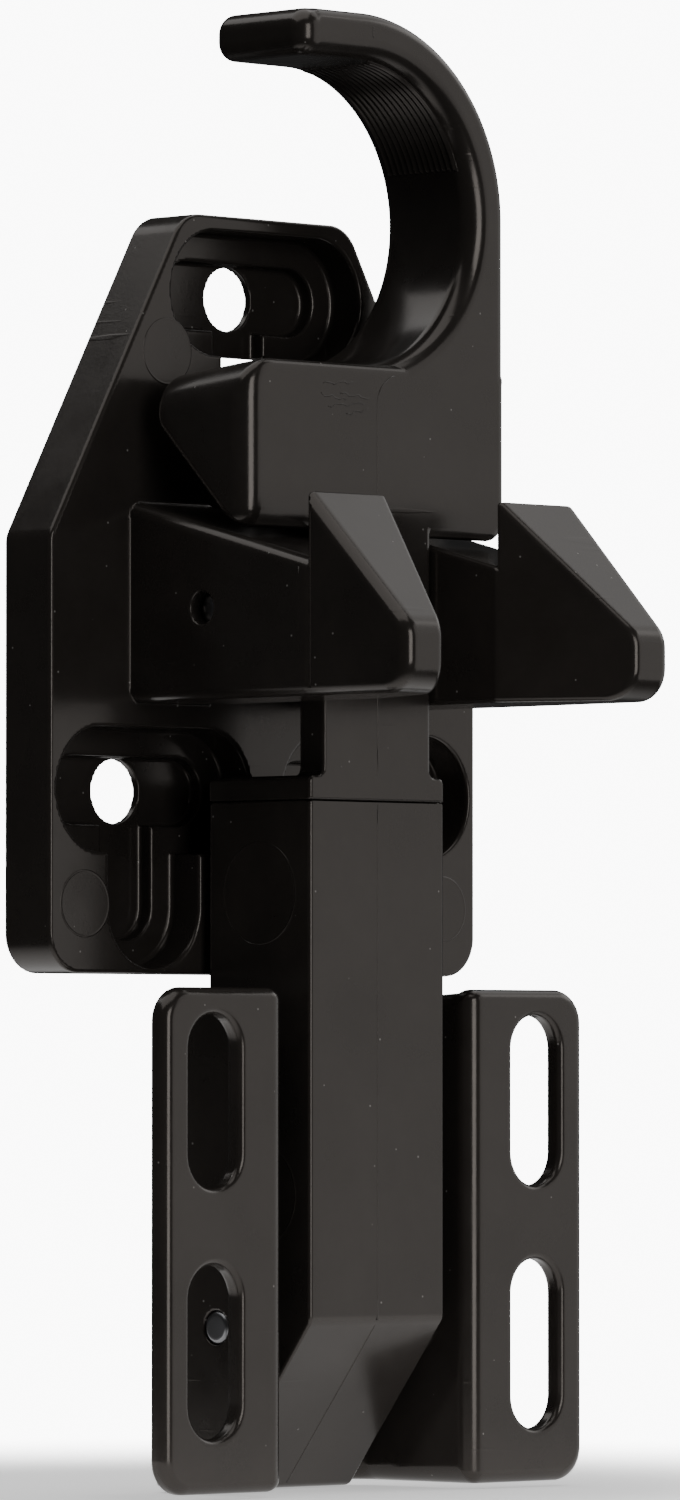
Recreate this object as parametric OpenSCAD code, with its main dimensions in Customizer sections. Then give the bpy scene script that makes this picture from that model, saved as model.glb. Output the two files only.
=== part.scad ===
// Gravity gate latch: a jawed catch plate for the post, and a guide bracket for the gate
// in which a lifting arm slides up and drops back under its own weight.
// The origin is the centre of the plate's back face. +Z is up, -Y points away from the post.

/* [Catch plate] */
// Width of the plate
plate_w = 59.6; // [58:0.1:64]
// Height of the plate
plate_h = 75.7; // [74:0.1:80]
// Thickness of the plate
plate_t = 6.6; // [6:0.1:8]
// Width of the plate across its narrow top
plate_top_w = 23; // [20:0.5:30]
// Height of the upright part of each side
plate_side_h = 43; // [40:0.5:48]
// Radius of the plate's corners
plate_corner_r = 4; // [2:0.5:5]

/* [Screw positions] */
// Height of the upper screw hole above the plate's centre
top_hole_z = 30.1; // [29:0.1:30.5]
// Depth of the two lower screw holes below the plate's centre
low_hole_drop = 19.7; // [19:0.1:20]
// Distance between the two lower screw holes
low_hole_spacing = 31.2; // [30:0.1:32]
// Diameter of a screw hole
screw_hole_d = 6.4; // [4:0.1:6.6]
// Width of a recess for a screw head
head_slot_w = 12.4; // [11:0.1:12.6]
// Length of the level part of a recess
head_slot_l = 26.4; // [22:0.1:26.6]
// Reach of the upright leg of a recess below its screw hole
head_slot_drop = 17.6; // [16:0.1:17.8]
// Depth of the recess for a screw head
head_slot_depth = 4.1; // [2:0.1:4.4]
// Width of the inner groove for a screw shank
shank_slot_w = 6.8; // [6.8:0.1:7.2]
// Thickness of plate left behind the inner groove
shank_floor = 0.9; // [0.8:0.1:1.5]

/* [Jaws] */
// Width of the throat between the jaws
throat_w = 15.5; // [15.5:0.1:16]
// Width over both jaws
jaws_w = 38; // [37:0.5:40]
// Reach of the jaws from the plate's back face
jaw_reach = 44.6; // [43:0.1:46]
// Distance from the plate's back face to the upright back of each nose
nose_back = 30.8; // [30.6:0.1:31.5]
// Height of each jaw's underside, from the plate's centre
jaw_base_z = -11.05; // [-11.5:0.05:-10]
// Height of each nose's top, from the plate's centre
nose_top_z = 8.85; // [8:0.05:9]
// Height of each cheek's top edge where it meets the plate
cheek_root_z = 8.9; // [7:0.1:9]
// Height of each cheek's top edge at the nose
cheek_end_z = 2.5; // [1.5:0.1:2.6]
// Radius of the rounded nose
nose_r = 3.3; // [2:0.1:3.4]
// How far each throat side flares out at the tip
mouth_flare = 5.8; // [4:0.1:6]
// Diameter of the steel pin across the throat
jaw_pin_d = 3.2; // [3:0.1:3.4]

/* [Lifting arm] */
// Distance from the plate's back face to the arm's front face
arm_front = 22.2; // [22:0.1:22.3]
// Width of the winged block
wing_w = 36.8; // [34:0.1:37.6]
// Height of the wings' underside, from the plate's centre
wing_base_z = 5.55; // [5.4:0.05:5.6]
// Height of the winged block
wing_h = 17; // [16:0.1:18]
// Depth of the wings from front to back
wing_depth = 12.8; // [12:0.1:13.2]
// Outer radius of the finger hook
hook_r = 19.8; // [19:0.1:20.5]
// Thickness of the finger hook
hook_t = 4.7; // [4:0.1:5.4]
// Depth of the finger hook from front to back
hook_depth = 12.6; // [11:0.1:13]
// Length of the hook's level tip beyond the top of its arc
hook_tip = 9; // [6:0.1:10]
// Width of the neck
neck_w = 14.9; // [14:0.1:14.9]
// Depth of the neck from front to back
neck_depth = 3.6; // [3:0.1:3.6]
// Width of the bar
bar_w = 18.8; // [18:0.1:19]
// Depth of the bar from front to back
bar_depth = 14.4; // [14:0.1:14.8]
// Height of the shoulders, from the plate's centre
shoulder_z = -18.35; // [-19:0.05:-18.2]
// Height of the head's part of the shoulders
shoulder_h = 2.5; // [2:0.1:3]
// Height of the front edge of the bar's chamfered end, from the plate's centre
bar_front_end_z = -72.05; // [-73:0.05:-71.8]
// Height of the bar's lowest edge, from the plate's centre
bar_end_z = -88.95; // [-90:0.05:-88]

/* [Gate bracket] */
// Width over both flanges
bracket_w = 58.2; // [57:0.1:59]
// Height of the bracket
bracket_h = 49.3; // [48.6:0.1:50]
// Height of the bracket's top edge, from the plate's centre
bracket_top_z = -39.3; // [-40:0.05:-39]
// Thickness of the bracket's walls
bracket_t = 2.2; // [2:0.1:2.5]
// Width of the channel that the bar slides in
channel_w = 25.7; // [25.4:0.1:26]
// Distance from the plate's back face to the flanges' front faces
flange_front = 22.4; // [22.4:0.1:22.8]
// Distance from the plate's back face to the inside of the channel's back wall
channel_back = 5.8; // [5.6:0.1:6]
// Radius of the flanges' outer corners
flange_corner_r = 3; // [2:0.5:4]
// Width of a flange slot
flange_slot_w = 6.8; // [6:0.1:7]
// Length of a flange slot
flange_slot_l = 17; // [16:0.1:18]
// Distance between the two slots of a flange
flange_slot_spacing = 24.4; // [24:0.1:24.6]
// Height of the middle between the upper and lower slots, from the plate's centre
flange_slot_z = -62.6; // [-63:0.1:-62]
// Distance from the middle to each pair of slots
flange_slot_x = 22.5; // [22:0.1:22.6]

/* [Guide pin] */
// Diameter of the guide pin
guide_pin_d = 3.3; // [3:0.1:3.4]
// Height of the guide pin, from the plate's centre
guide_pin_z = -72.65; // [-72.8:0.05:-72]
// Distance from the plate's back face to the guide pin
guide_pin_y = 14.7; // [14.5:0.1:15]
// How far the arm lifts
arm_lift = 4.5; // [4:0.1:4.5]

/* [Hidden] */

$fn = 64;

black_nylon = "#23211f";
steel = "#b9bcc0";

// Clearances and small sizes
pin_grip = 0.01;          // radial gap of a pin in its hole
slide_gap = 0.3;          // gap between the bar and the bosses beside it
pin_slot_gap = 0.25;      // radial gap of the guide pin in the bar's slot
past = 1;                 // how far a cutter runs past a face
bite = 0.5;               // how far joined shapes run into each other
edge_r = 1;               // small corner radius

// Catch plate
plate_top_z = plate_h / 2;
groove_depth = plate_t - shank_floor;
window_drop = 6.05;       // from the upper screw hole down to the window in its groove
window_w = head_slot_w - 1.2;
screw_holes = [
    [0, top_hole_z],
    [-low_hole_spacing / 2, -low_hole_drop],
    [low_hole_spacing / 2, -low_hole_drop]
];

// Jaws
nose_land = 0.5;          // level land on top of each nose
tip_taper = 0.5;          // how much the outer side of a jaw narrows at the tip
jaw_pin_y = 16.7;
jaw_pin_z = -2.05;
jaw_pin_recess = 1;

// Lifting arm
wing_top_z = wing_base_z + wing_h;
wing_top_slope = 5.5;     // degrees, falling towards the back
wing_lip = 2;             // level strip under the front of the wings
wing_corner_r = 4;
hook_x = wing_w / 2 - hook_r;
hook_z = wing_top_z + hook_r - hook_t;
hook_tip_r = 2;
head_foot_z = shoulder_z - shoulder_h;
spigot_w = 11;
spigot_depth = 8;
spigot_l = 14;
socket_gap = 0.05;
bar_back = arm_front - bar_depth;
bar_mid = arm_front - bar_depth / 2;
bar_toe = 1.2;            // level strip at the back of the bar's chamfered end

// Gate bracket
web_outer_w = channel_w + 2 * bracket_t;
bracket_mid_z = bracket_top_z - bracket_h / 2;
boss_d = 5.4;
boss_l = (channel_w - bar_w) / 2 - slide_gap;

// Tangent points and circle centres of a rounded convex corner at points[i]
function unit(v) = v / norm(v);
function at(points, i) = points[(i + len(points)) % len(points)];
function half_angle(points, i) =
    acos(unit(at(points, i - 1) - at(points, i)) * unit(at(points, i + 1) - at(points, i))) / 2;
function corner_points(points, radii, i) =
    let (back = unit(at(points, i - 1) - at(points, i)))
    let (ahead = unit(at(points, i + 1) - at(points, i)))
    let (run = radii[i] / tan(half_angle(points, i)))
    [at(points, i) + run * back, at(points, i) + run * ahead];
function corner_centre(points, radii, i) =
    let (back = unit(at(points, i - 1) - at(points, i)))
    let (ahead = unit(at(points, i + 1) - at(points, i)))
    at(points, i) + unit(back + ahead) * radii[i] / sin(half_angle(points, i));

// Convex outline whose corners are true arcs, each with its own radius (0 leaves it sharp)
module rounded_outline(points, radii) {
    polygon([for (i = [0 : len(points) - 1]) each corner_points(points, radii, i)]);
    for (i = [0 : len(points) - 1])
        if (radii[i] > 0)
            translate(corner_centre(points, radii, i)) circle(radii[i]);
}

// Outline of a slot with round ends, centred, running along its first size
module slot_outline(length, width) {
    square([length - width, width], center = true);
    for (side = [-1, 1]) translate([side * (length - width) / 2, 0]) circle(width / 2);
}

// Stands an XZ outline up, from `front` to `back`, both measured out from the plate's back face
module upright(front, back) {
    translate([0, -back, 0]) rotate([90, 0, 0]) linear_extrude(front - back) children();
}

// Turns an outline drawn as (distance from the back face, height) into a solid along X
module along_x(from, to) {
    translate([from, 0, 0]) rotate([90, 0, 90]) linear_extrude(to - from)
        mirror([1, 0]) children();
}

module pin_along_x(from, to, d, y, z) {
    translate([from, -y, z]) rotate([0, 90, 0]) cylinder(h = to - from, d = d);
}

// Catch plate -------------------------------------------------------------------

module plate_outline() {
    side_top_z = plate_side_h - plate_top_z;
    outline = [
        [-plate_w / 2, -plate_top_z],
        [plate_w / 2, -plate_top_z],
        [plate_w / 2, side_top_z],
        [plate_top_w / 2, plate_top_z],
        [-plate_top_w / 2, plate_top_z],
        [-plate_w / 2, side_top_z]
    ];
    rounded_outline(outline, [for (p = outline) plate_corner_r]);
}

// T-shaped groove: a level slot with an upright leg that ends `drop` below the hole
module tee_outline(length, width, drop) {
    slot_outline(length, width);
    translate([0, -drop / 2 + width / 4]) rotate(90) slot_outline(drop + width / 2, width);
}

module screw_recess() {
    shank_inset = (head_slot_w - shank_slot_w) / 2;
    upright(plate_t + past, plate_t - head_slot_depth)
        tee_outline(head_slot_l, head_slot_w, head_slot_drop);
    upright(plate_t, plate_t - groove_depth)
        tee_outline(head_slot_l - 2 * shank_inset, shank_slot_w, head_slot_drop - shank_inset);
    upright(plate_t, -past) circle(d = screw_hole_d);
}

// Window right through the leg of the upper recess
module groove_window() {
    low = head_slot_drop - head_slot_w / 2;
    upright(plate_t, -past) {
        translate([-window_w / 2, -low]) square([window_w, low - window_drop]);
        translate([0, -low]) circle(d = window_w);
    }
}

// Side view of the straight part of a jaw
module cheek_outline() {
    polygon([
        [plate_t - bite, jaw_base_z],
        [nose_back + bite, jaw_base_z],
        [nose_back + bite, cheek_end_z],
        [nose_back, cheek_end_z],
        [plate_t - bite, cheek_root_z]
    ]);
}

// Side view of the nose: upright back, slanted front, rounded tip
module nose_outline() {
    crest = nose_back + nose_land;
    outline = [
        [nose_back, jaw_base_z],
        [jaw_reach, jaw_base_z],
        [jaw_reach, nose_top_z - (jaw_reach - crest)],
        [crest, nose_top_z],
        [nose_back, nose_top_z]
    ];
    rounded_outline(outline, [0, nose_r, nose_r, 0, 0]);
}

// Top view of the nose, flared on its throat side
module nose_plan() {
    polygon([
        [throat_w / 2, -nose_back],
        [jaws_w / 2, -nose_back],
        [jaws_w / 2 - tip_taper, -jaw_reach],
        [throat_w / 2 + mouth_flare, -jaw_reach]
    ]);
}

module jaw() {
    along_x(throat_w / 2, jaws_w / 2) cheek_outline();
    intersection() {
        along_x(throat_w / 2, jaws_w / 2) nose_outline();
        translate([0, 0, jaw_base_z]) linear_extrude(nose_top_z - jaw_base_z) nose_plan();
    }
}

module catch_plate() {
    color(black_nylon) difference() {
        union() {
            upright(plate_t, 0) plate_outline();
            jaw();
            mirror([1, 0, 0]) jaw();
        }
        for (hole = screw_holes) translate([hole[0], 0, hole[1]]) screw_recess();
        translate([0, 0, top_hole_z]) groove_window();
        pin_along_x(-jaws_w, jaws_w, jaw_pin_d + 2 * pin_grip, jaw_pin_y, jaw_pin_z);
    }
}

module jaw_pin() {
    reach = jaws_w / 2 - jaw_pin_recess;
    color(steel) pin_along_x(-reach, reach, jaw_pin_d, jaw_pin_y, jaw_pin_z);
}

// Lifting arm -------------------------------------------------------------------

// Front view of the winged block
module wing_front_outline() {
    outline = [
        [-wing_w / 2, wing_base_z],
        [wing_w / 2, wing_base_z],
        [wing_w / 2, wing_top_z],
        [-wing_w / 2, wing_top_z]
    ];
    rounded_outline(outline, [edge_r, edge_r, 0, wing_corner_r]);
}

// Side view of the winged block: sloped top, wedge underside that faces the plate
module wing_side_outline() {
    back = arm_front - wing_depth;
    outline = [
        [arm_front, wing_base_z],
        [arm_front, wing_top_z],
        [back, wing_top_z - wing_depth * tan(wing_top_slope)],
        [back, wing_base_z + wing_depth - wing_lip],
        [arm_front - wing_lip, wing_base_z]
    ];
    rounded_outline(outline, [0, 0, 0, edge_r, edge_r]);
}

// Front view of the finger hook: three quarters of a ring on a straight stem
module hook_outline() {
    difference() {
        union() {
            intersection() {
                translate([hook_x, hook_z]) circle(hook_r, $fn = 128);
                translate([hook_x, hook_z - hook_r]) square(2 * hook_r);
            }
            translate([hook_x, wing_top_z - bite]) square([hook_r, hook_z - wing_top_z + bite]);
        }
        translate([hook_x, hook_z]) circle(hook_r - hook_t, $fn = 128);
    }
    tip = [
        [hook_x + bite, hook_z + hook_r - hook_t],
        [hook_x + bite, hook_z + hook_r],
        [hook_x - hook_tip, hook_z + hook_r],
        [hook_x - hook_tip, hook_z + hook_r - hook_t]
    ];
    intersection() {
        rounded_outline(tip, [0, 0, hook_tip_r, hook_tip_r]);
        translate([hook_x - hook_tip, hook_z]) square([hook_tip, hook_r]);
    }
}

module handle_head() {
    color(black_nylon) {
        intersection() {
            upright(arm_front, arm_front - wing_depth) wing_front_outline();
            along_x(-wing_w / 2, wing_w / 2) wing_side_outline();
        }
        upright(arm_front, arm_front - hook_depth) hook_outline();
        translate([-neck_w / 2, -arm_front, shoulder_z - bite])
            cube([neck_w, neck_depth, wing_base_z - shoulder_z + 2 * bite]);
        translate([-bar_w / 2, -arm_front, head_foot_z])
            cube([bar_w, bar_depth, shoulder_h]);
        translate([-spigot_w / 2, -bar_mid - spigot_depth / 2, head_foot_z - spigot_l])
            cube([spigot_w, spigot_depth, spigot_l + bite]);
    }
}

// Side view of the bar
module bar_side_outline() {
    polygon([
        [arm_front, head_foot_z],
        [bar_back, head_foot_z],
        [bar_back, bar_end_z],
        [bar_back + bar_toe, bar_end_z],
        [arm_front, bar_front_end_z]
    ]);
}

module guide_bar() {
    socket_w = spigot_w + 2 * socket_gap;
    socket_depth = spigot_depth + 2 * socket_gap;
    slot_w = guide_pin_d + 2 * pin_slot_gap;
    color(black_nylon) difference() {
        along_x(-bar_w / 2, bar_w / 2) bar_side_outline();
        translate([-socket_w / 2, -bar_mid - socket_depth / 2, head_foot_z - spigot_l - past])
            cube([socket_w, socket_depth, spigot_l + 2 * past]);
        translate([0, 0, guide_pin_z - arm_lift / 2])
            along_x(-bar_w, bar_w)
                translate([guide_pin_y, 0]) rotate(90) slot_outline(arm_lift + slot_w, slot_w);
    }
}

// Gate bracket ------------------------------------------------------------------

// Front view of both flanges with the channel between them
module flange_outline() {
    half_h = bracket_h / 2;
    outline = [
        [-bracket_w / 2, -half_h],
        [bracket_w / 2, -half_h],
        [bracket_w / 2, half_h],
        [-bracket_w / 2, half_h]
    ];
    difference() {
        rounded_outline(outline, [for (p = outline) flange_corner_r]);
        square([channel_w, bracket_h + past], center = true);
        for (x = [-1, 1], z = [-0.5, 0.5])
            translate([x * flange_slot_x, flange_slot_z - bracket_mid_z + z * flange_slot_spacing])
                rotate(90) slot_outline(flange_slot_l, flange_slot_w);
    }
}

// Top view of the channel: two webs and a back wall
module channel_plan() {
    back = channel_back - bracket_t;
    difference() {
        translate([-web_outer_w / 2, -flange_front]) square([web_outer_w, flange_front - back]);
        translate([-channel_w / 2, -flange_front - past])
            square([channel_w, flange_front + past - channel_back]);
    }
}

module gate_bracket() {
    hole_d = guide_pin_d + 2 * pin_grip;
    color(black_nylon) difference() {
        union() {
            translate([0, 0, bracket_mid_z])
                upright(flange_front, flange_front - bracket_t) flange_outline();
            translate([0, 0, bracket_mid_z - bracket_h / 2])
                linear_extrude(bracket_h) channel_plan();
            for (side = [0, 1]) mirror([side, 0, 0])
                pin_along_x(channel_w / 2 - boss_l, channel_w / 2 + bite, boss_d,
                    guide_pin_y, guide_pin_z);
        }
        pin_along_x(-web_outer_w, web_outer_w, hole_d, guide_pin_y, guide_pin_z);
    }
}

module guide_pin() {
    color(steel)
        pin_along_x(-web_outer_w / 2, web_outer_w / 2, guide_pin_d, guide_pin_y, guide_pin_z);
}

catch_plate();
jaw_pin();
handle_head();
guide_bar();
gate_bracket();
guide_pin();
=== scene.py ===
import math

import bpy
import numpy as np
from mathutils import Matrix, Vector


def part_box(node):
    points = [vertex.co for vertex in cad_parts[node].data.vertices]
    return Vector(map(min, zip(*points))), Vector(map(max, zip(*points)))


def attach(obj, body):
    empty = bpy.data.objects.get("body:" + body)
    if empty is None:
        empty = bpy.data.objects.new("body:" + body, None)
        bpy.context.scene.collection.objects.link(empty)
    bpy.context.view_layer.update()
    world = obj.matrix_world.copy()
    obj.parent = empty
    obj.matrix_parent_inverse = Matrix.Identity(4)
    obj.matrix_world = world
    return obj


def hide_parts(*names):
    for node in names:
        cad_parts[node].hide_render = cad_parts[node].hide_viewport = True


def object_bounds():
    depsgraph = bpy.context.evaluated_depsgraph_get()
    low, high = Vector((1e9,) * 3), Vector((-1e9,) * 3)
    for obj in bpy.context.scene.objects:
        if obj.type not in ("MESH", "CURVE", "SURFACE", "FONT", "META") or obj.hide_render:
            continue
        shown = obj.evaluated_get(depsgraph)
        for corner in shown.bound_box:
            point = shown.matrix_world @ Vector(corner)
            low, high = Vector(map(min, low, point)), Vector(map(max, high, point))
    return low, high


# Gravity gate latch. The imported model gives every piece's place and outer size. The looks are
# built around it as moulded pieces: each piece is a distance field made of planes, slots and
# rounded joins, which is turned into a mesh and keeps the field's own normals, so that every
# edge has the soft radius of a moulding. All sizes below are in millimetres. Heights are from the
# plate's middle, and depths are from its back face unless a comment says otherwise.

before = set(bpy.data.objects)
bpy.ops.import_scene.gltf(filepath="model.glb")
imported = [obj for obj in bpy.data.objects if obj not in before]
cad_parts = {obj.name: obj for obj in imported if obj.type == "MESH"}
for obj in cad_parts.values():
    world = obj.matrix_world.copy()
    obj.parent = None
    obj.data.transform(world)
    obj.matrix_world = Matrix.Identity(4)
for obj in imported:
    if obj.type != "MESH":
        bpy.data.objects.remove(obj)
CAD_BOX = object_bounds()
MM = 0.001


def box_mm(node):
    low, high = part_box(node)
    return [v / MM for v in low], [v / MM for v in high]


PLATE_LOW, PLATE_HIGH = box_mm("catch_plate")
HEAD_LOW, HEAD_HIGH = box_mm("handle_head")
BAR_LOW, BAR_HIGH = box_mm("guide_bar")
BRACKET_LOW, BRACKET_HIGH = box_mm("gate_bracket")
JAW_PIN_LOW, JAW_PIN_HIGH = box_mm("jaw_pin")
GUIDE_PIN_LOW, GUIDE_PIN_HIGH = box_mm("guide_pin")

# Catch plate
PLATE_T = 6.6
PLATE_TOP_W = 23.0
PLATE_SIDE_H = 43.0
PLATE_CORNER_R = 4.0
PLATE_WAIST_R = 2.5
PLATE_EDGE_R = 0.4
SCREW_HOLES = ((0.0, 30.1), (-15.6, -19.7), (15.6, -19.7))
SCREW_HOLE_R = 3.2
HEAD_SLOT_W = 12.4
HEAD_SLOT_L = 26.4
HEAD_SLOT_DROP = 17.6
HEAD_SLOT_DEPTH = 4.1
SHANK_SLOT_W = 6.8
SHANK_FLOOR = 0.9
WINDOW_DROP = 5.85
WINDOW_W = 11.2
PLATE_MARKS = ((25.1, -31.0), (-25.1, -31.0), (-13.9, 23.9))
PLATE_MARK_R = 3.25

# Jaws
THROAT_W = 15.5
JAWS_W = 38.0
NOSE_BACK = 30.8
NOSE_LAND = 0.5
NOSE_TOP_Z = 8.85
JAW_BASE_Z = -11.05
CHEEK_ROOT_Z = 8.9
CHEEK_END_Z = 2.5
NOSE_R = 3.3
MOUTH_FLARE = 5.8
TIP_TAPER = 0.5
JAW_EDGE_R = 1.35
JAW_INNER_R = 0.6
CHEEK_FOOT_DEPTH = 1.0    # the cheeks start this far in front of the plate's back face
CHEEK_ROOT_INSET = 0.5    # and their top edge starts this far behind its front face
CHEEK_INTO_NOSE = 1.5     # and they end this far inside the noses
SHUT_OFF_Y = 30.2
SHUT_OFF_Z = -7.4

# Lifting arm
WING_BASE_Z = 5.55
WING_H = 17.0
WING_DEPTH = 12.8
WING_LIP = 2.0
WING_TOP_SLOPE = math.radians(5.5)
WING_CORNER_R = 4.0
WING_SOFT_R = 2.2
WING_PLAIN_R = 1.0
WING_WEDGE_R = 1.7
WING_FRONT_R = 1.2
WING_FRONT_FADE = (-10, -2)
WING_TOP_R = 0.9
WING_TOP_FADE = (3.5, 0.5)
HOOK_R = 19.8
HOOK_T = 4.7
HOOK_DEPTH = 12.6
HOOK_TIP = 9.0
HOOK_END_R = 2.1
HOOK_INNER_R = 1.9
HOOK_BACK_R = 1.2
HOOK_TIP_FRONT_R = 1.9
HOOK_TIP_FRONT_L = 2.5
HOOK_GRIP_FRONT_R = 2.2
HOOK_RIM_FRONT_R = 1.4
HOOK_INTO_BLOCK = 4.5
HOOK_PAST_MIDDLE = 1.0
NECK_W = 14.9
NECK_DEPTH = 3.6
NECK_INTO_BLOCK = 2.0
SHOULDER_H = 2.5
SHOULDER_FILLET_R = 0.8
FOOT_STEP = 0.03          # how far the head's foot stands proud of the bar
JOINT_GAP = 0.06          # hairline between the head's foot and the bar
BAR_FRONT_END_Z = -72.05
BAR_TOE = 1.2
ARM_LIFT = 4.5
PIN_SLOT_GAP = 0.25
BAR_MARKS_Z = (-29.9, -59.7)
BAR_MARKS_Y = -15.1
BAR_MARK_R = 5.0

# Faint flow lines on the block's face: start x, start z, length, rise
FLOW_LINES = ((-7.6, 20.3, 4.2, 0.3), (-7.9, 19.2, 3.4, -0.4), (-6.9, 18.1, 5.2, 0.5),
              (-5.2, 19.4, 4.0, -0.3), (-4.4, 17.4, 3.1, 0.6))

# Ribs inside the hook
RIBS_FRONT = 1.5          # behind the hook's front face
RIB_COUNT = 13
RIB_PITCH = 0.76
RIB_HEIGHT = 0.26
RIBS_LOW = 19.0           # degrees above level
RIBS_HIGH = 84.0

# Gate bracket
BRACKET_T = 2.2
CHANNEL_W = 25.7
CHANNEL_BACK = 5.8
BEND_R = 4.6
MOUTH_R = 1.8
WEB_DROP = 0.25           # the channel's top stops this far below the flanges' tops
WEB_FALL = 0.07           # and falls by this share of the depth behind the flanges
FLANGE_HALF = 29.4
FLANGE_CORNER_R = 3.4
FLANGE_SOFT_R = 1.2
FLANGE_SLOT_W = 6.8
FLANGE_SLOT_L = 17.0
FLANGE_SLOT_X = 22.5
FLANGE_SLOT_Z = -62.6
FLANGE_SLOT_SPACING = 24.4
FLANGE_SLOT_RIM_R = 0.7
BOSS_R = 2.7
BOSS_GAP = 0.3
BOSS_INTO_WEB = 1.0
PIN_HOLE_GAP = 0.05

WING_TOP_Z = WING_BASE_Z + WING_H
ARM_FRONT = -HEAD_LOW[1]
WING_HALF = HEAD_HIGH[0]
HOOK_X = WING_HALF - HOOK_R
HOOK_Z = HEAD_HIGH[2] - HOOK_R
FOOT_Z = BAR_HIGH[2]
SHOULDER_Z = FOOT_Z + SHOULDER_H
BAR_BACK = -BAR_HIGH[1]
FLANGE_FRONT = -BRACKET_LOW[1]
JAW_PIN_Y = (JAW_PIN_LOW[1] + JAW_PIN_HIGH[1]) / 2
JAW_PIN_Z = (JAW_PIN_LOW[2] + JAW_PIN_HIGH[2]) / 2
JAW_PIN_R = (JAW_PIN_HIGH[2] - JAW_PIN_LOW[2]) / 2
GUIDE_PIN_Y = (GUIDE_PIN_LOW[1] + GUIDE_PIN_HIGH[1]) / 2
GUIDE_PIN_Z = (GUIDE_PIN_LOW[2] + GUIDE_PIN_HIGH[2]) / 2
GUIDE_PIN_R = (GUIDE_PIN_HIGH[2] - GUIDE_PIN_LOW[2]) / 2


# Distance fields: negative inside. Each takes coordinate arrays and gives an array back.

def both(a, b, r, lean=0.0):
    """Where both shapes are, with the convex edge between them rounded to radius r. `lean` is
    the cosine of the angle between their outward directions, 0 where they meet squarely."""
    a, b = a + r, b + r
    apex = np.sqrt(np.maximum(a * a + b * b - 2 * lean * a * b, 0) / (1 - lean * lean))
    at_corner = (a > lean * b) & (b > lean * a)
    return np.where(at_corner, apex, np.maximum(a, b)) - r


def either(a, b, r):
    """Where either shape is, with a fillet of radius r in the concave edge between them."""
    return -both(-a, -b, r)


def cut(a, b, r):
    """The first shape less the second, with the rim rounded to radius r."""
    return both(a, -b, r)


def beyond(u, v, start, end):
    """Distance to the left of the line from start to end, in the plane of u and v."""
    du, dv = end[0] - start[0], end[1] - start[1]
    length = math.hypot(du, dv)
    return ((v - start[1]) * du - (u - start[0]) * dv) / length


def obround(u, v, length, width):
    """A slot with round ends, centred, that runs along v."""
    reach = (length - width) / 2
    return np.hypot(u, np.maximum(np.abs(v) - reach, 0)) - width / 2


def tee(u, v, length, width, drop):
    """T-shaped slot: a level arm, and a leg that ends `drop` below the middle."""
    arm = obround(v, u, length, width)
    leg_half = (drop + width / 2) / 2
    leg = obround(u, v + drop / 2 - width / 4, 2 * leg_half, width)
    return np.minimum(arm, leg)


def screw_recess(x, y, z):
    """Recess for a screw head, and the groove in its floor."""
    inset = (HEAD_SLOT_W - SHANK_SLOT_W) / 2
    head = tee(x, z, HEAD_SLOT_L, HEAD_SLOT_W, HEAD_SLOT_DROP)
    head = both(head, y + PLATE_T - HEAD_SLOT_DEPTH, 0.5)
    groove = tee(x, z, HEAD_SLOT_L - 2 * inset, SHANK_SLOT_W, HEAD_SLOT_DROP - inset)
    groove = both(groove, y + SHANK_FLOOR, 0.4)
    return either(head, groove, 0.3)


def groove_window(x, z):
    """Window right through the plate in the leg of the upper recess."""
    low = HEAD_SLOT_W / 2 - HEAD_SLOT_DROP
    high = WINDOW_W / 2 - WINDOW_DROP + 1
    slot = obround(x, z - (low + high) / 2, high - low + WINDOW_W, WINDOW_W)
    return both(slot, z + WINDOW_DROP, 0.2)


def plate_slab(x, y, z):
    half_w, half_h = PLATE_HIGH[0], PLATE_HIGH[2]
    side_top = (half_w, PLATE_SIDE_H - half_h)
    slope = -beyond(np.abs(x), z, side_top, (PLATE_TOP_W / 2, half_h))
    rise, run = 2 * half_h - PLATE_SIDE_H, half_w - PLATE_TOP_W / 2
    length = math.hypot(rise, run)
    outline = both(np.abs(x) - half_w, slope, PLATE_WAIST_R, rise / length)
    outline = both(outline, z - half_h, PLATE_CORNER_R, run / length)
    outline = both(outline, -half_h - z, PLATE_CORNER_R)
    return both(both(outline, -PLATE_T - y, PLATE_EDGE_R), y, 0.3)


def jaw(side, y, z):
    """One jaw, both together when side is the distance from the middle plane."""
    reach = -PLATE_LOW[1]
    crest = NOSE_BACK + NOSE_LAND
    flare = beyond(side, y, (THROAT_W / 2, -NOSE_BACK), (THROAT_W / 2 + MOUTH_FLARE, -reach))
    taper = -beyond(side, y, (JAWS_W / 2, -NOSE_BACK), (JAWS_W / 2 - TIP_TAPER, -reach))
    inner = both(THROAT_W / 2 - side, -flare, 1.0, 0.92)
    outer = np.maximum(side - JAWS_W / 2, -taper)

    root = (PLATE_T - CHEEK_ROOT_INSET, CHEEK_ROOT_Z)
    cheek_top = beyond(-y, z, root, (NOSE_BACK, CHEEK_END_Z))
    cheek = both(-y - NOSE_BACK - CHEEK_INTO_NOSE, cheek_top, 0.3)
    cheek = both(both(cheek, y + CHEEK_FOOT_DEPTH, 0.3), JAW_BASE_Z - z, 0.5)
    cheek = both(both(cheek, outer, JAW_EDGE_R), inner, JAW_INNER_R)

    slant = (-y - crest + z - NOSE_TOP_Z) / math.sqrt(2)
    nose = both(-reach - y, slant, NOSE_R, math.sqrt(0.5))
    nose = both(nose, JAW_BASE_Z - z, NOSE_R)
    nose = both(nose, z - NOSE_TOP_Z, 0.5, math.sqrt(0.5))
    nose = both(nose, y + NOSE_BACK, 0.4)
    nose = both(both(nose, outer, JAW_EDGE_R), inner, JAW_INNER_R)
    return np.minimum(cheek, nose)


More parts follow.
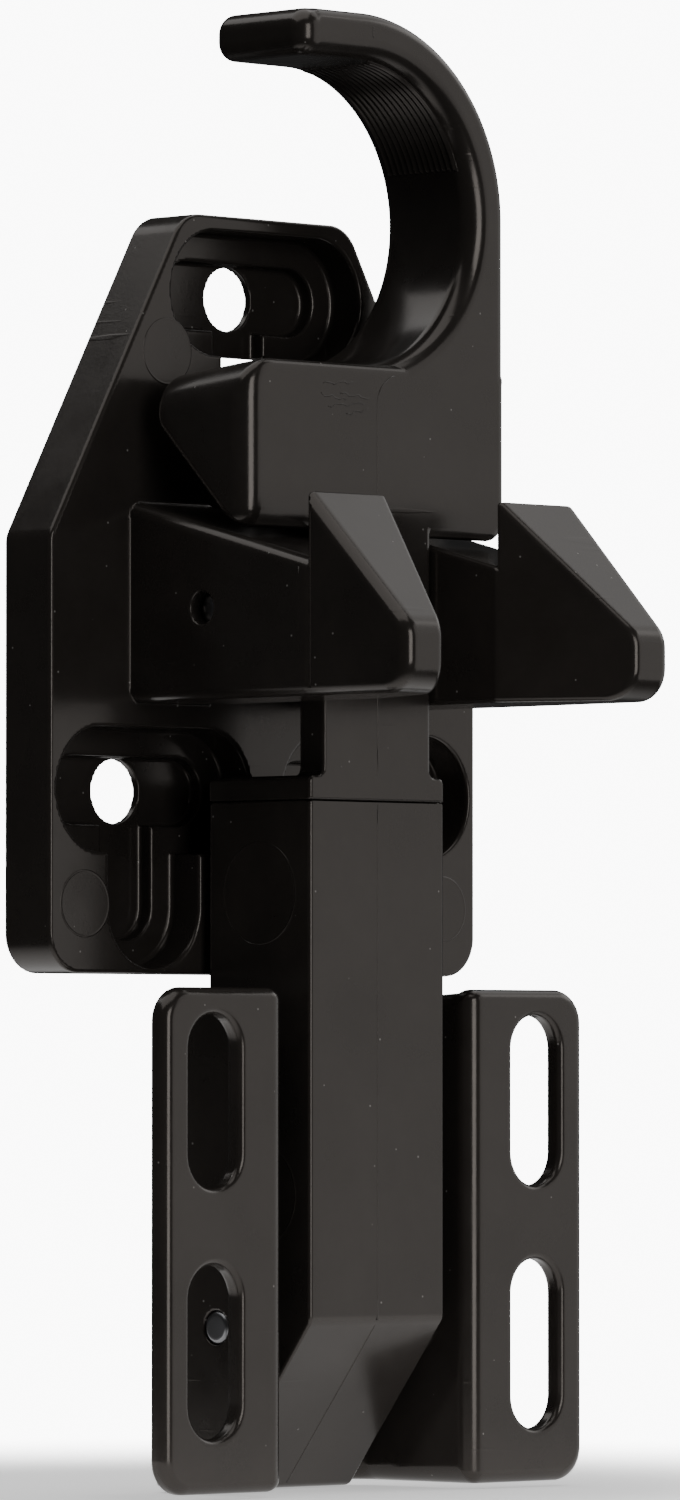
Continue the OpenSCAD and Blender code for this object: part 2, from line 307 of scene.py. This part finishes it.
def plate_field(x, y, z):
    body = either(plate_slab(x, y, z), jaw(np.abs(x), y, z), 0.12)
    for hole_x, hole_z in SCREW_HOLES:
        body = cut(body, screw_recess(x - hole_x, y, z - hole_z), 0.4)
        body = cut(body, np.hypot(x - hole_x, z - hole_z) - SCREW_HOLE_R, 0.12)
    body = cut(body, groove_window(x - SCREW_HOLES[0][0], z - SCREW_HOLES[0][1]), 0.12)
    pin_hole = np.hypot(y - JAW_PIN_Y, z - JAW_PIN_Z) - JAW_PIN_R
    return cut(body, pin_hole, 0.2)


def wing_block(x, y, z):
    fall = math.tan(WING_TOP_SLOPE)
    top = (z - WING_TOP_Z + (y + ARM_FRONT) * fall) * math.cos(WING_TOP_SLOPE)
    back = ARM_FRONT - WING_DEPTH
    wedge_start = (ARM_FRONT - WING_LIP, WING_BASE_Z)
    wedge_end = (back, WING_BASE_Z + WING_DEPTH - WING_LIP)
    wedge = beyond(-y, z, wedge_start, wedge_end)
    block = both(-WING_HALF - x, top, WING_CORNER_R)
    block = both(block, x - WING_HALF, WING_PLAIN_R)
    block = both(block, WING_BASE_Z - z, WING_SOFT_R)
    block = both(block, y + back, WING_PLAIN_R)
    block = both(block, wedge, WING_WEDGE_R, 0.4)
    along = np.interp(x, WING_FRONT_FADE, (WING_SOFT_R, WING_FRONT_R))
    top_fade = (WING_TOP_Z - WING_TOP_FADE[0], WING_TOP_Z - WING_TOP_FADE[1])
    up = np.interp(z, top_fade, (WING_SOFT_R, WING_TOP_R))
    return both(block, -ARM_FRONT - y, np.minimum(along, up))


def hook(x, y, z):
    outer = np.hypot(np.maximum(x - HOOK_X, 0), np.maximum(z - HOOK_Z, 0)) - HOOK_R
    inner = np.hypot(np.maximum(x - HOOK_X, 0), z - HOOK_Z) - (HOOK_R - HOOK_T)
    end = np.where(z > HOOK_Z, HOOK_X - HOOK_TIP - x, HOOK_X - HOOK_PAST_MIDDLE - x)
    limb = both(both(outer, end, HOOK_END_R), -inner, HOOK_INNER_R)
    limb = both(limb, WING_TOP_Z - HOOK_INTO_BLOCK - z, 0.2)
    limb_r = np.where(-inner > outer, HOOK_GRIP_FRONT_R, HOOK_RIM_FRONT_R)
    at_tip = x < HOOK_X - HOOK_TIP + HOOK_TIP_FRONT_L
    limb = both(limb, -ARM_FRONT - y, np.where(at_tip, HOOK_TIP_FRONT_R, limb_r))
    return both(limb, y + ARM_FRONT - HOOK_DEPTH, HOOK_BACK_R)


def neck_and_foot(x, y, z):
    side = np.abs(x)
    half_w = BAR_HIGH[0] + FOOT_STEP
    neck = both(side - NECK_W / 2, z - WING_BASE_Z - NECK_INTO_BLOCK, 0)
    foot = both(side - half_w, z - SHOULDER_Z, 0.6)
    front = either(neck, foot, SHOULDER_FILLET_R)
    front = both(front, y + ARM_FRONT - NECK_DEPTH, 0.4)
    foot = both(foot, y + BAR_BACK, 0.4)
    stem = both(np.minimum(front, foot), FOOT_Z + JOINT_GAP - z, 0.05)
    return both(stem, -ARM_FRONT - y, 0.3)


def head_field(x, y, z):
    return np.minimum(np.minimum(wing_block(x, y, z), hook(x, y, z)), neck_and_foot(x, y, z))


def bar_field(x, y, z):
    front = ARM_FRONT - FOOT_STEP / 2
    body = both(np.abs(x) - BAR_HIGH[0], -front - y, 0.3)
    body = both(body, y + BAR_BACK, 0.5)
    body = both(body, z - FOOT_Z, 0.05)
    chamfer_end = (BAR_BACK + BAR_TOE, BAR_LOW[2])
    chamfer = -beyond(-y, z, chamfer_end, (ARM_FRONT, BAR_FRONT_END_Z))
    body = both(body, chamfer, 0.35)
    body = both(body, BAR_LOW[2] - z, 0.4)
    slot_w = 2 * (GUIDE_PIN_R + PIN_SLOT_GAP)
    slot_z = z - GUIDE_PIN_Z + ARM_LIFT / 2
    slot = obround(y - GUIDE_PIN_Y, slot_z, ARM_LIFT + slot_w, slot_w)
    return cut(body, slot, 0.3)


def bracket_field(x, y, z):
    side = np.abs(x)
    top, bottom = BRACKET_HIGH[2], BRACKET_LOW[2]
    web = CHANNEL_W / 2
    outer = both(side - web - BRACKET_T, y + CHANNEL_BACK - BRACKET_T, BEND_R)
    web_top = z - top + WEB_DROP + WEB_FALL * (y + FLANGE_FRONT - BRACKET_T)
    outer = both(outer, web_top, 0.8)
    inner = both(side - web, y + CHANNEL_BACK, BEND_R - BRACKET_T)
    hat = either(outer, y + FLANGE_FRONT - BRACKET_T, 0.8)
    outline = both(side - FLANGE_HALF, z - top, FLANGE_CORNER_R)
    outline = both(outline, bottom - z, FLANGE_CORNER_R)
    hat = both(hat, outline, 0.5)
    hat = both(hat, -FLANGE_FRONT - y, FLANGE_SOFT_R)
    hat = cut(hat, inner, MOUTH_R)
    from_pin = np.hypot(y - GUIDE_PIN_Y, z - GUIDE_PIN_Z)
    boss = both(from_pin - BOSS_R, BAR_HIGH[0] + BOSS_GAP - side, 0.3)
    boss = both(boss, side - web - BOSS_INTO_WEB, 0)
    hat = either(hat, boss, 0.4)
    for offset in (-FLANGE_SLOT_SPACING / 2, FLANGE_SLOT_SPACING / 2):
        up = z - FLANGE_SLOT_Z - offset
        slot = obround(side - FLANGE_SLOT_X, up, FLANGE_SLOT_L, FLANGE_SLOT_W)
        hat = cut(hat, slot, FLANGE_SLOT_RIM_R)
    return cut(hat, from_pin - GUIDE_PIN_R - PIN_HOLE_GAP, 0.15)


# Turning a field into a mesh

def net_points(field, low, high, step):
    """Crossing points and quads of a surface net over the field, on a grid of `step`."""
    axes = [np.arange(a - 2 * step, b + 3 * step, step) for a, b in zip(low, high)]
    shape = tuple(len(a) for a in axes)
    value = np.broadcast_to(field(*np.ix_(*axes)), shape)
    solid = value < 0
    strides = np.array([shape[1] * shape[2], shape[2], 1])
    loops, crossings = [], []
    for k in range(3):
        near = [slice(None)] * 3
        far = [slice(None)] * 3
        near[k], far[k] = slice(0, -1), slice(1, None)
        near, far = tuple(near), tuple(far)
        index = np.stack(np.nonzero(solid[near] != solid[far]), axis=1)
        beyond_index = index.copy()
        beyond_index[:, k] += 1
        start = value[tuple(index.T)]
        stop = value[tuple(beyond_index.T)]
        point = np.stack([axes[n][index[:, n]] for n in range(3)], axis=1)
        point[:, k] += step * start / (start - stop)
        b, c = strides[(k + 1) % 3], strides[(k + 2) % 3]
        cell = index @ strides
        loop = np.stack([cell - b - c, cell - c, cell, cell - b], axis=1)
        outward = start < 0
        loop[~outward] = loop[~outward][:, ::-1]
        loops.append(loop)
        crossings.append(point)
    loops = np.concatenate(loops)
    crossings = np.concatenate(crossings)
    corner = np.unique(loops, return_inverse=True)[1].reshape(loops.shape)
    count = np.bincount(corner.ravel())
    repeated = np.repeat(crossings, 4, axis=0)
    points = [np.bincount(corner.ravel(), repeated[:, n]) / count for n in range(3)]
    return np.stack(points, axis=1), corner


def slopes(field, p, h=0.02):
    """Gradient of the field at each point."""
    columns = []
    for k in range(3):
        ahead, behind = p.copy(), p.copy()
        ahead[:, k] += h
        behind[:, k] -= h
        columns.append((field(*ahead.T) - field(*behind.T)) / (2 * h))
    return np.stack(columns, axis=1)


def settle(field, p, passes=3):
    """Moves each point onto the field's surface."""
    for _ in range(passes):
        g = slopes(field, p)
        squared = np.maximum((g * g).sum(axis=1), 0.05)
        p = p - g * (field(*p.T) / squared)[:, None]
    return p


def mesh_points(mesh):
    co = np.empty(len(mesh.vertices) * 3)
    mesh.vertices.foreach_get("co", co)
    return co.reshape(-1, 3)


def corner_normals(field, mesh, points):
    """The field's normal at each face corner, read a little way in from the corner, so that a
    large flat face beside a rounded edge is shaded flat."""
    corners = np.empty(len(mesh.loops), int)
    mesh.loops.foreach_get("vertex_index", corners)
    at = points[corners]
    middle = at.reshape(-1, 3, 3).mean(axis=1).repeat(3, axis=0)
    normals = slopes(field, at + (middle - at) * 0.12)
    return normals / np.maximum(np.linalg.norm(normals, axis=1), 1e-6)[:, None]


def new_object(name, mesh):
    obj = bpy.data.objects.new(name, mesh)
    bpy.context.scene.collection.objects.link(obj)
    return obj


def moulded(name, field, low, high, step, keep):
    """A piece made from a field: net, thinned to the share `keep` of its faces, and smooth."""
    points, quads = net_points(field, low, high, step)
    points = settle(field, points)
    mesh = bpy.data.meshes.new(name)
    mesh.from_pydata(points.tolist(), [], quads.tolist())
    obj = new_object(name, mesh)
    thin = obj.modifiers.new("thin", "DECIMATE")
    thin.ratio = keep
    thin.use_collapse_triangulate = True
    bpy.context.view_layer.update()
    depsgraph = bpy.context.evaluated_depsgraph_get()
    thinned = bpy.data.meshes.new_from_object(obj.evaluated_get(depsgraph))
    obj.modifiers.clear()
    obj.data = thinned
    bpy.data.meshes.remove(mesh)
    thinned.name = name
    points = settle(field, mesh_points(thinned), 2)
    thinned.vertices.foreach_set("co", (points * MM).ravel())
    thinned.polygons.foreach_set("use_smooth", np.ones(len(thinned.polygons), bool))
    thinned.update()
    thinned.normals_split_custom_set(corner_normals(field, thinned, points).tolist())
    return obj


# Fine details, as thin meshes that stand a little proud of the moulded surface

def from_points(name, points, faces):
    mesh = bpy.data.meshes.new(name)
    mesh.from_pydata((np.asarray(points, float) * MM).tolist(), [], faces)
    mesh.polygons.foreach_set("use_smooth", np.ones(len(mesh.polygons), bool))
    mesh.update()
    return new_object(name, mesh)


def raised_line(name, path, out, width=0.14, height=0.05, root=0.12):
    """A moulding's parting line: a narrow ridge along a path on a face whose outward is `out`."""
    path = np.asarray(path, float)
    out = np.broadcast_to(np.asarray(out, float), path.shape)
    along = np.gradient(path, axis=0)
    along /= np.linalg.norm(along, axis=1)[:, None]
    aside = np.cross(out, along)
    aside /= np.linalg.norm(aside, axis=1)[:, None]
    rows = [path - out * root - aside * width, path + out * height * 0.4 - aside * width * 0.5,
            path + out * height, path + out * height * 0.4 + aside * width * 0.5,
            path - out * root + aside * width]
    points = np.stack(rows, axis=1).reshape(-1, 3)
    count = len(rows)
    faces = []
    for i in range(len(path) - 1):
        for j in range(count):
            k = (j + 1) % count
            faces.append((i * count + j, i * count + k, (i + 1) * count + k, (i + 1) * count + j))
    faces.append(tuple(range(count))[::-1])
    faces.append(tuple((len(path) - 1) * count + j for j in range(count)))
    return from_points(name, points, faces)


def turned(name, centre, axis, profile, turns=64):
    """A profile of (radius, height) points turned about an axis through the centre."""
    centre = np.asarray(centre, float)
    axis = np.asarray(axis, float)
    across = np.array([0.0, 0.0, 1.0])
    other = np.cross(axis, across)
    angle = np.linspace(0, 2 * math.pi, turns, endpoint=False)
    ring = np.cos(angle)[:, None] * across + np.sin(angle)[:, None] * other
    points = np.concatenate([centre + axis * h + ring * r for r, h in profile])
    faces = []
    for i in range(len(profile) - 1):
        for j in range(turns):
            k = (j + 1) % turns
            faces.append((i * turns + j, (i + 1) * turns + j, (i + 1) * turns + k, i * turns + k))
    faces.append(tuple(range(turns)))
    faces.append(tuple((len(profile) - 1) * turns + j for j in range(turns))[::-1])
    return from_points(name, points, faces)


def ejector_mark(name, centre, axis, radius):
    """Witness mark of an ejector pin: a very low disc inside a fine raised ring."""
    profile = [(radius + 0.14, -0.3), (radius + 0.14, -0.02), (radius + 0.05, 0.03),
               (radius - 0.05, 0.03), (radius - 0.12, 0.012), (radius - 0.18, 0.01), (0.3, 0.01)]
    return turned(name, centre, axis, profile, 72)


def grip_ribs(name):
    """Fine ribs that run around the inside of the hook, where the finger pulls."""
    radius = HOOK_R - HOOK_T
    steps = 8
    depth = np.linspace(RIBS_FRONT, RIBS_FRONT + RIB_COUNT * RIB_PITCH, RIB_COUNT * steps + 1)
    wave = 0.5 - 0.5 * np.cos((depth - RIBS_FRONT) / RIB_PITCH * 2 * math.pi)
    angle = np.radians(np.linspace(RIBS_LOW, RIBS_HIGH, 73))
    reach = np.minimum((angle - angle[0]) * radius, (angle[-1] - angle) * radius)
    fade = np.clip(reach / 0.5, 0, 1) ** 0.7
    height = RIB_HEIGHT * wave[None, :] * fade[:, None] - 0.02
    r = radius - height
    x = HOOK_X + r * np.cos(angle)[:, None]
    z = HOOK_Z + r * np.sin(angle)[:, None]
    y = np.broadcast_to(depth - ARM_FRONT, r.shape)
    top = np.stack([x, y, z], axis=2)
    under = top.copy()
    under[:, :, 0] = HOOK_X + (radius + 0.4) * np.cos(angle)[:, None]
    under[:, :, 2] = HOOK_Z + (radius + 0.4) * np.sin(angle)[:, None]
    rows, cols = r.shape
    points = np.concatenate([top.reshape(-1, 3), under.reshape(-1, 3)])
    faces = []
    shift = rows * cols
    for i in range(rows - 1):
        for j in range(cols - 1):
            a, b = i * cols + j, i * cols + j + 1
            c, d = b + cols, a + cols
            faces.append((a, d, c, b))
            faces.append((a + shift, b + shift, c + shift, d + shift))
    edge = list(range(cols)) + [i * cols + cols - 1 for i in range(1, rows)]
    edge += [(rows - 1) * cols + j for j in range(cols - 2, -1, -1)]
    edge += [i * cols for i in range(rows - 2, 0, -1)]
    for a, b in zip(edge, edge[1:] + edge[:1]):
        faces.append((a, b, b + shift, a + shift))
    return from_points(name, points, faces)


# Materials

class Nodes:
    """Short forms for building one material's node tree."""

    def __init__(self, name):
        self.material = bpy.data.materials.new(name)
        self.material.use_nodes = True
        self.tree = self.material.node_tree
        self.shader = self.tree.nodes["Principled BSDF"]

    def add(self, kind, **values):
        node = self.tree.nodes.new(kind)
        for key, value in values.items():
            if hasattr(node, key) and not isinstance(value, (tuple, list)):
                setattr(node, key, value)
            else:
                node.inputs[key].default_value = value
        return node

    def link(self, source, target):
        self.tree.links.new(source, target)


def black_nylon(name, colour, seed):
    """Satin moulded nylon: faint flow mottle, fine grain, rubbed patches, hairline scratches."""
    n = Nodes(name)
    place = n.add("ShaderNodeTexCoord")
    shift = n.add("ShaderNodeMapping")
    shift.inputs["Location"].default_value = (seed, seed * 0.7, seed * 1.3)
    n.link(place.outputs["Object"], shift.inputs["Vector"])

    mottle = n.add("ShaderNodeTexNoise", Scale=90.0, Detail=5.0, Roughness=0.6)
    n.link(shift.outputs["Vector"], mottle.inputs["Vector"])
    tint = n.add("ShaderNodeValToRGB")
    tint.color_ramp.elements[0].position = 0.3
    tint.color_ramp.elements[0].color = (colour[0] * 0.8, colour[1] * 0.8, colour[2] * 0.8, 1)
    tint.color_ramp.elements[1].position = 0.75
    tint.color_ramp.elements[1].color = (colour[0] * 1.25, colour[1] * 1.25, colour[2] * 1.25, 1)
    n.link(mottle.outputs["Fac"], tint.inputs["Fac"])

    specks = n.add("ShaderNodeTexVoronoi", Scale=420.0, Randomness=1.0)
    n.link(shift.outputs["Vector"], specks.inputs["Vector"])
    dust = n.add("ShaderNodeValToRGB")
    dust.color_ramp.elements[0].position = 0.035
    dust.color_ramp.elements[0].color = (1, 1, 1, 1)
    dust.color_ramp.elements[1].position = 0.05
    dust.color_ramp.elements[1].color = (0, 0, 0, 1)
    n.link(specks.outputs["Distance"], dust.inputs["Fac"])
    coat = n.add("ShaderNodeMix", data_type="RGBA")
    n.link(dust.outputs["Color"], coat.inputs["Factor"])
    n.link(tint.outputs["Color"], coat.inputs["A"])
    coat.inputs["B"].default_value = (0.2, 0.19, 0.18, 1)
    n.link(coat.outputs["Result"], n.shader.inputs["Base Color"])

    rubbed = n.add("ShaderNodeTexNoise", Scale=160.0, Detail=6.0, Roughness=0.65)
    n.link(shift.outputs["Vector"], rubbed.inputs["Vector"])
    gloss = n.add("ShaderNodeMapRange")
    gloss.inputs["From Min"].default_value = 0.3
    gloss.inputs["From Max"].default_value = 0.7
    gloss.inputs["To Min"].default_value = 0.14
    gloss.inputs["To Max"].default_value = 0.24
    n.link(rubbed.outputs["Fac"], gloss.inputs["Value"])
    n.link(gloss.outputs["Result"], n.shader.inputs["Roughness"])

    stretch = n.add("ShaderNodeMapping")
    stretch.inputs["Rotation"].default_value = (0.3, 0.5, 0.25)
    stretch.inputs["Scale"].default_value = (60, 60, 900)
    n.link(place.outputs["Object"], stretch.inputs["Vector"])
    scratches = n.add("ShaderNodeTexNoise", Scale=1.0, Detail=2.0)
    n.link(stretch.outputs["Vector"], scratches.inputs["Vector"])
    lines = n.add("ShaderNodeValToRGB")
    lines.color_ramp.elements[0].position = 0.66
    lines.color_ramp.elements[1].position = 0.72
    n.link(scratches.outputs["Fac"], lines.inputs["Fac"])

    grain = n.add("ShaderNodeTexNoise", Scale=2600.0, Detail=3.0, Roughness=0.6)
    n.link(shift.outputs["Vector"], grain.inputs["Vector"])
    fine = n.add("ShaderNodeBump", Strength=0.08, Distance=0.00006)
    n.link(grain.outputs["Fac"], fine.inputs["Height"])
    scuff = n.add("ShaderNodeBump", Strength=0.15, Distance=0.00005)
    n.link(lines.outputs["Color"], scuff.inputs["Height"])
    n.link(fine.outputs["Normal"], scuff.inputs["Normal"])
    n.link(scuff.outputs["Normal"], n.shader.inputs["Normal"])
    n.shader.inputs["IOR"].default_value = 1.53
    n.shader.inputs["Specular Tint"].default_value = (1.0, 0.91, 0.84, 1)
    return n.material


def ground_steel(name):
    """Bright ground steel with fine turning lines."""
    n = Nodes(name)
    place = n.add("ShaderNodeTexCoord")
    stretch = n.add("ShaderNodeMapping")
    stretch.inputs["Scale"].default_value = (9000, 300, 300)
    n.link(place.outputs["Object"], stretch.inputs["Vector"])
    turning = n.add("ShaderNodeTexNoise", Scale=1.0, Detail=3.0)
    n.link(stretch.outputs["Vector"], turning.inputs["Vector"])
    tint = n.add("ShaderNodeValToRGB")
    tint.color_ramp.elements[0].color = (0.17, 0.17, 0.175, 1)
    tint.color_ramp.elements[1].color = (0.34, 0.34, 0.35, 1)
    n.link(turning.outputs["Fac"], tint.inputs["Fac"])
    n.link(tint.outputs["Color"], n.shader.inputs["Base Color"])
    bump = n.add("ShaderNodeBump", Strength=0.2, Distance=0.00004)
    n.link(turning.outputs["Fac"], bump.inputs["Height"])
    n.link(bump.outputs["Normal"], n.shader.inputs["Normal"])
    n.shader.inputs["Metallic"].default_value = 1.0
    n.shader.inputs["Roughness"].default_value = 0.28
    return n.material


def finish_piece(obj, body, node, material):
    obj.data.materials.clear()
    obj.data.materials.append(material)
    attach(obj, body)
    if node:
        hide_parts(node)
    return obj


# Camera, light and floor

def add_camera():
    """The photograph's view: from the front left, level with the lower third, long lens."""
    distance = 1.0
    centre_y = -0.0066
    view_shift = 0.0073
    height = -0.04785
    aim_rise = 0.0325
    camera = bpy.data.cameras.new("camera")
    camera.lens = 240
    camera.sensor_fit = "AUTO"
    camera.sensor_width = 36
    obj = bpy.data.objects.new("camera", camera)
    bpy.context.scene.collection.objects.link(obj)
    right = Vector((math.sqrt(0.5), -math.sqrt(0.5), 0))
    ahead = Vector((math.sqrt(0.5), math.sqrt(0.5), 0))
    target = Vector((0, centre_y, height)) + right * view_shift
    obj.location = target - ahead * distance
    pitch = math.atan2(aim_rise, distance)
    obj.rotation_euler = (math.pi / 2 + pitch, 0, -math.pi / 4)
    camera.clip_start = 0.05
    bpy.context.scene.camera = obj


def add_area(name, location, target, size, power, colour=(1, 1, 1)):
    light = bpy.data.lights.new(name, "AREA")
    light.shape = "RECTANGLE"
    light.size, light.size_y = size
    light.energy = power
    light.color = colour
    obj = bpy.data.objects.new(name, light)
    bpy.context.scene.collection.objects.link(obj)
    obj.location = location
    aim = Vector(target) - Vector(location)
    obj.rotation_euler = aim.to_track_quat("-Z", "Y").to_euler()


def add_world():
    world = bpy.data.worlds.new("studio")
    bpy.context.scene.world = world
    world.use_nodes = True
    tree = world.node_tree
    lit = tree.nodes["Background"]
    lit.inputs["Color"].default_value = (1, 1, 1, 1)
    lit.inputs["Strength"].default_value = 0.03
    shown = tree.nodes.new("ShaderNodeBackground")
    shown.inputs["Color"].default_value = (1, 1, 1, 1)
    shown.inputs["Strength"].default_value = 10.0
    path = tree.nodes.new("ShaderNodeLightPath")
    mix = tree.nodes.new("ShaderNodeMixShader")
    tree.links.new(path.outputs["Is Camera Ray"], mix.inputs["Fac"])
    tree.links.new(lit.outputs["Background"], mix.inputs[1])
    tree.links.new(shown.outputs["Background"], mix.inputs[2])
    tree.links.new(mix.outputs["Shader"], tree.nodes["World Output"].inputs["Surface"])


def add_floor():
    """A pale floor that fades out around the part into the pale surroundings."""
    size = 0.5
    gap = 0.0002
    floor_z = CAD_BOX[0][2] - gap
    mesh = bpy.data.meshes.new("floor")
    corners = ((-size, -size), (size, -size), (size, size), (-size, size))
    mesh.from_pydata([(x, y, floor_z) for x, y in corners], [], [(0, 1, 2, 3)])
    floor = new_object("floor", mesh)
    n = Nodes("pale_floor")
    n.shader.inputs["Base Color"].default_value = (0.9, 0.9, 0.9, 1)
    n.shader.inputs["Roughness"].default_value = 0.9
    n.shader.inputs["Emission Color"].default_value = (1, 1, 1, 1)
    n.shader.inputs["Emission Strength"].default_value = 0.55
    place = n.add("ShaderNodeTexCoord")
    middle = n.add("ShaderNodeVectorMath", operation="LENGTH")
    n.link(place.outputs["Object"], middle.inputs[0])
    fade = n.add("ShaderNodeMapRange")
    fade.interpolation_type = "SMOOTHSTEP"
    fade.inputs["From Min"].default_value = 0.095
    fade.inputs["From Max"].default_value = 0.17
    fade.inputs["To Min"].default_value = 1.0
    fade.inputs["To Max"].default_value = 0.0
    n.link(middle.outputs["Value"], fade.inputs["Value"])
    n.link(fade.outputs["Result"], n.shader.inputs["Alpha"])
    mesh.materials.append(n.material)


def add_lights():
    middle = (0, -0.02, 0)
    add_area("key_right", (1.2, -0.75, 0.15), middle, (2.0, 1.8), 8.6)
    add_area("top_right", (1.0, -0.1, 0.9), middle, (1.2, 1.2), 4.2)
    add_area("top", (-0.2, 0.15, 1.2), middle, (1.9, 1.7), 12)
    add_area("edge_left", (-0.32, -1.15, 0.12), middle, (0.5, 0.8), 4.2)


def add_pins(steel):
    """The two cross pins: the jaw pin with domed ends, the guide pin with bevelled ones."""
    for node, body, low, high, face, fall in (
            ("jaw_pin", "post_side", JAW_PIN_LOW, JAW_PIN_HIGH, 0.35, 0.55),
            ("guide_pin", "gate_side", GUIDE_PIN_LOW, GUIDE_PIN_HIGH, 0.78, 0.3)):
        r = (high[2] - low[2]) / 2
        half = (high[0] - low[0]) / 2
        centre = (0, (low[1] + high[1]) / 2, (low[2] + high[2]) / 2)
        end = [(0.02, half), (r * (face - 0.18), half), (r * (face - 0.04), half),
               (r * face, half - 0.01),
               (r * (face + 1) / 2, half - fall * 0.4), (r * 0.98, half - fall * 0.85),
               (r, half - fall), (r, half - fall - 0.1)]
        profile = [(radius, -reach) for radius, reach in end] + end[::-1]
        pin = turned(node + "_steel", centre, (1, 0, 0), profile)
        finish_piece(pin, body, node, steel)


def add_details(plate_material, arm_material):
    """Witness marks and parting lines of the mouldings, and the hook's ribs."""
    ribs = grip_ribs("hook_grip_ribs")
    finish_piece(ribs, "lift_arm", None, arm_material)

    for number, (x, z) in enumerate(PLATE_MARKS, start=1):
        name = f"plate_ejector_mark_{number}"
        mark = ejector_mark(name, (x, -PLATE_T, z), (0, -1, 0), PLATE_MARK_R)
        finish_piece(mark, "post_side", None, plate_material)
    for number, z in enumerate(BAR_MARKS_Z):
        name = f"bar_ejector_mark_{number}"
        mark = ejector_mark(name, (BAR_LOW[0], BAR_MARKS_Y, z), (-1, 0, 0), BAR_MARK_R)
        finish_piece(mark, "lift_arm", None, arm_material)

    for side, word in ((-1, "left"), (1, "right")):
        face = side * (JAWS_W / 2 - 0.02)
        path = [(face, -y, SHUT_OFF_Z) for y in np.linspace(PLATE_T + 5, SHUT_OFF_Y, 12)]
        path += [(face, -SHUT_OFF_Y, z) for z in np.linspace(SHUT_OFF_Z, CHEEK_END_Z - 1, 8)[1:]]
        line = raised_line(f"cheek_shut_off_{word}", path, (side, 0, 0), 0.12, 0.03)
        finish_piece(line, "post_side", None, plate_material)

    front = -ARM_FRONT
    turn_z = WING_TOP_Z - 4
    turn_r = 3
    path = [(0, front, z) for z in np.linspace(SHOULDER_Z, turn_z, 12)]
    for turn in np.radians(np.linspace(0, 78, 9)[1:]):
        path.append((turn_r - turn_r * math.cos(turn), front, turn_z + turn_r * math.sin(turn)))
    line = raised_line("arm_parting_line", path, (0, -1, 0))
    finish_piece(line, "lift_arm", None, arm_material)
    for number, (x, z, length, rise) in enumerate(FLOW_LINES):
        t = np.linspace(0, 1, 15)
        wander = 0.12 * np.sin(t * 13 + number * 2.1) + 0.07 * np.sin(t * 29 + number)
        path = np.stack([x + t * length, np.full_like(t, front), z + t * rise + wander], axis=1)
        line = raised_line(f"flow_line_{number}", path, (0, -1, 0), 0.11, 0.05)
        finish_piece(line, "lift_arm", None, arm_material)
    top_rim = HOOK_Z + HOOK_R
    path = [(-0.6, front, z) for z in np.linspace(top_rim - HOOK_T + 2.2, top_rim - 1.4, 6)]
    line = raised_line("hook_weld_line", path, (0, -1, 0), 0.12, 0.04)
    finish_piece(line, "lift_arm", None, arm_material)
    path = [(0, front + FOOT_STEP / 2, z) for z in np.linspace(BAR_FRONT_END_Z, FOOT_Z - 0.3, 20)]
    line = raised_line("bar_parting_line", path, (0, -1, 0), 0.12, 0.04)
    finish_piece(line, "lift_arm", None, arm_material)
    fall = np.array([0, ARM_FRONT - BAR_BACK - BAR_TOE, BAR_LOW[2] - BAR_FRONT_END_Z])
    face = np.array([0, fall[2], -fall[1]]) / np.linalg.norm(fall)
    start = np.array([0, front, BAR_FRONT_END_Z])
    path = [start + fall * t for t in np.linspace(0.03, 0.97, 12)]
    line = raised_line("chamfer_parting_line", path, face)
    finish_piece(line, "lift_arm", None, arm_material)


nylon_plate = black_nylon("plate_nylon", (0.022, 0.019, 0.017), 0.0)
nylon_arm = black_nylon("arm_nylon", (0.023, 0.020, 0.018), 3.1)
nylon_bracket = black_nylon("bracket_nylon", (0.022, 0.019, 0.017), 7.7)
steel = ground_steel("pin_steel")

step = 0.30

catch_plate = moulded("catch_plate_moulding", plate_field, PLATE_LOW, PLATE_HIGH, step, 0.3)
finish_piece(catch_plate, "post_side", "catch_plate", nylon_plate)
head_low = (HEAD_LOW[0], HEAD_LOW[1], FOOT_Z)
handle = moulded("handle_head_moulding", head_field, head_low, HEAD_HIGH, step, 0.4)
finish_piece(handle, "lift_arm", "handle_head", nylon_arm)
bar = moulded("guide_bar_moulding", bar_field, BAR_LOW, BAR_HIGH, step, 0.4)
finish_piece(bar, "lift_arm", "guide_bar", nylon_arm)
bracket = moulded("gate_bracket_moulding", bracket_field, BRACKET_LOW, BRACKET_HIGH, step, 0.4)
finish_piece(bracket, "gate_side", "gate_bracket", nylon_bracket)

add_pins(steel)
add_details(nylon_plate, nylon_arm)

add_camera()
add_world()
add_lights()
add_floor()
